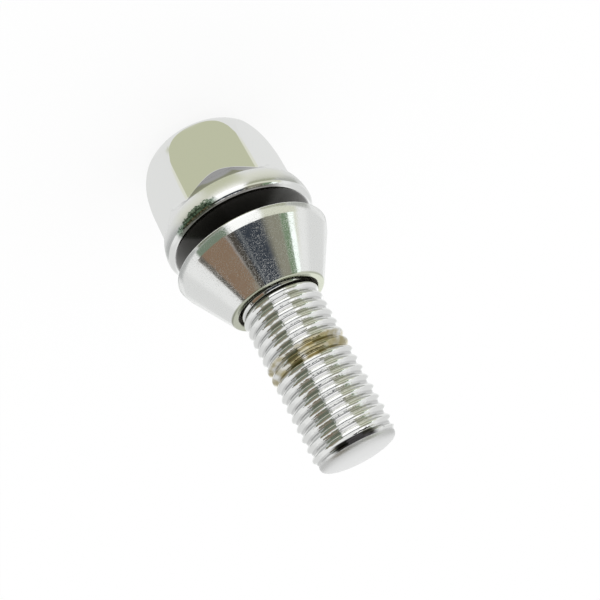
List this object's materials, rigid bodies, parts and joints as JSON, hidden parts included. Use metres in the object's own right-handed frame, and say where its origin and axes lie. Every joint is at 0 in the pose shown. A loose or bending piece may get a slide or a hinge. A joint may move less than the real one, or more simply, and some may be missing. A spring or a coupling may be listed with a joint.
{
  "type": "wheel bolt with loose taper collar",
  "caption": "Chromed hexagon-head wheel bolt with a round flange, a rolled metric thread and a loose conical collar that seats in the wheel.",
  "frame": {"origin": "centre of the flat top of the head, which is the lowest point: the bolt stands on its head", "axes": "+Z along the shank from the head to the thread's end, which is also the way the cone narrows; -Y is the outward normal of one flat of the hexagon"},
  "size_m": [0.0238, 0.0238, 0.0538],
  "materials": {
    "bolt_chrome": "bright chrome plate over a forged and rolled surface, slightly dulled by handling, with a faint yellow-brown stain band round the middle of the thread",
    "collar_chrome": "bright chrome plate over a turned surface, with fine scratches on the cone"
  },
  "bodies": {
    "bolt": {"bolt": "bolt_chrome"},
    "collar": {"taper_collar": "collar_chrome"}
  },
  "joints": [
    {"name": "collar_float", "type": "slide", "parent": "bolt", "child": "collar", "axis": [0, 0, 1], "range_m": [-0.0029, 0]}
  ]
}
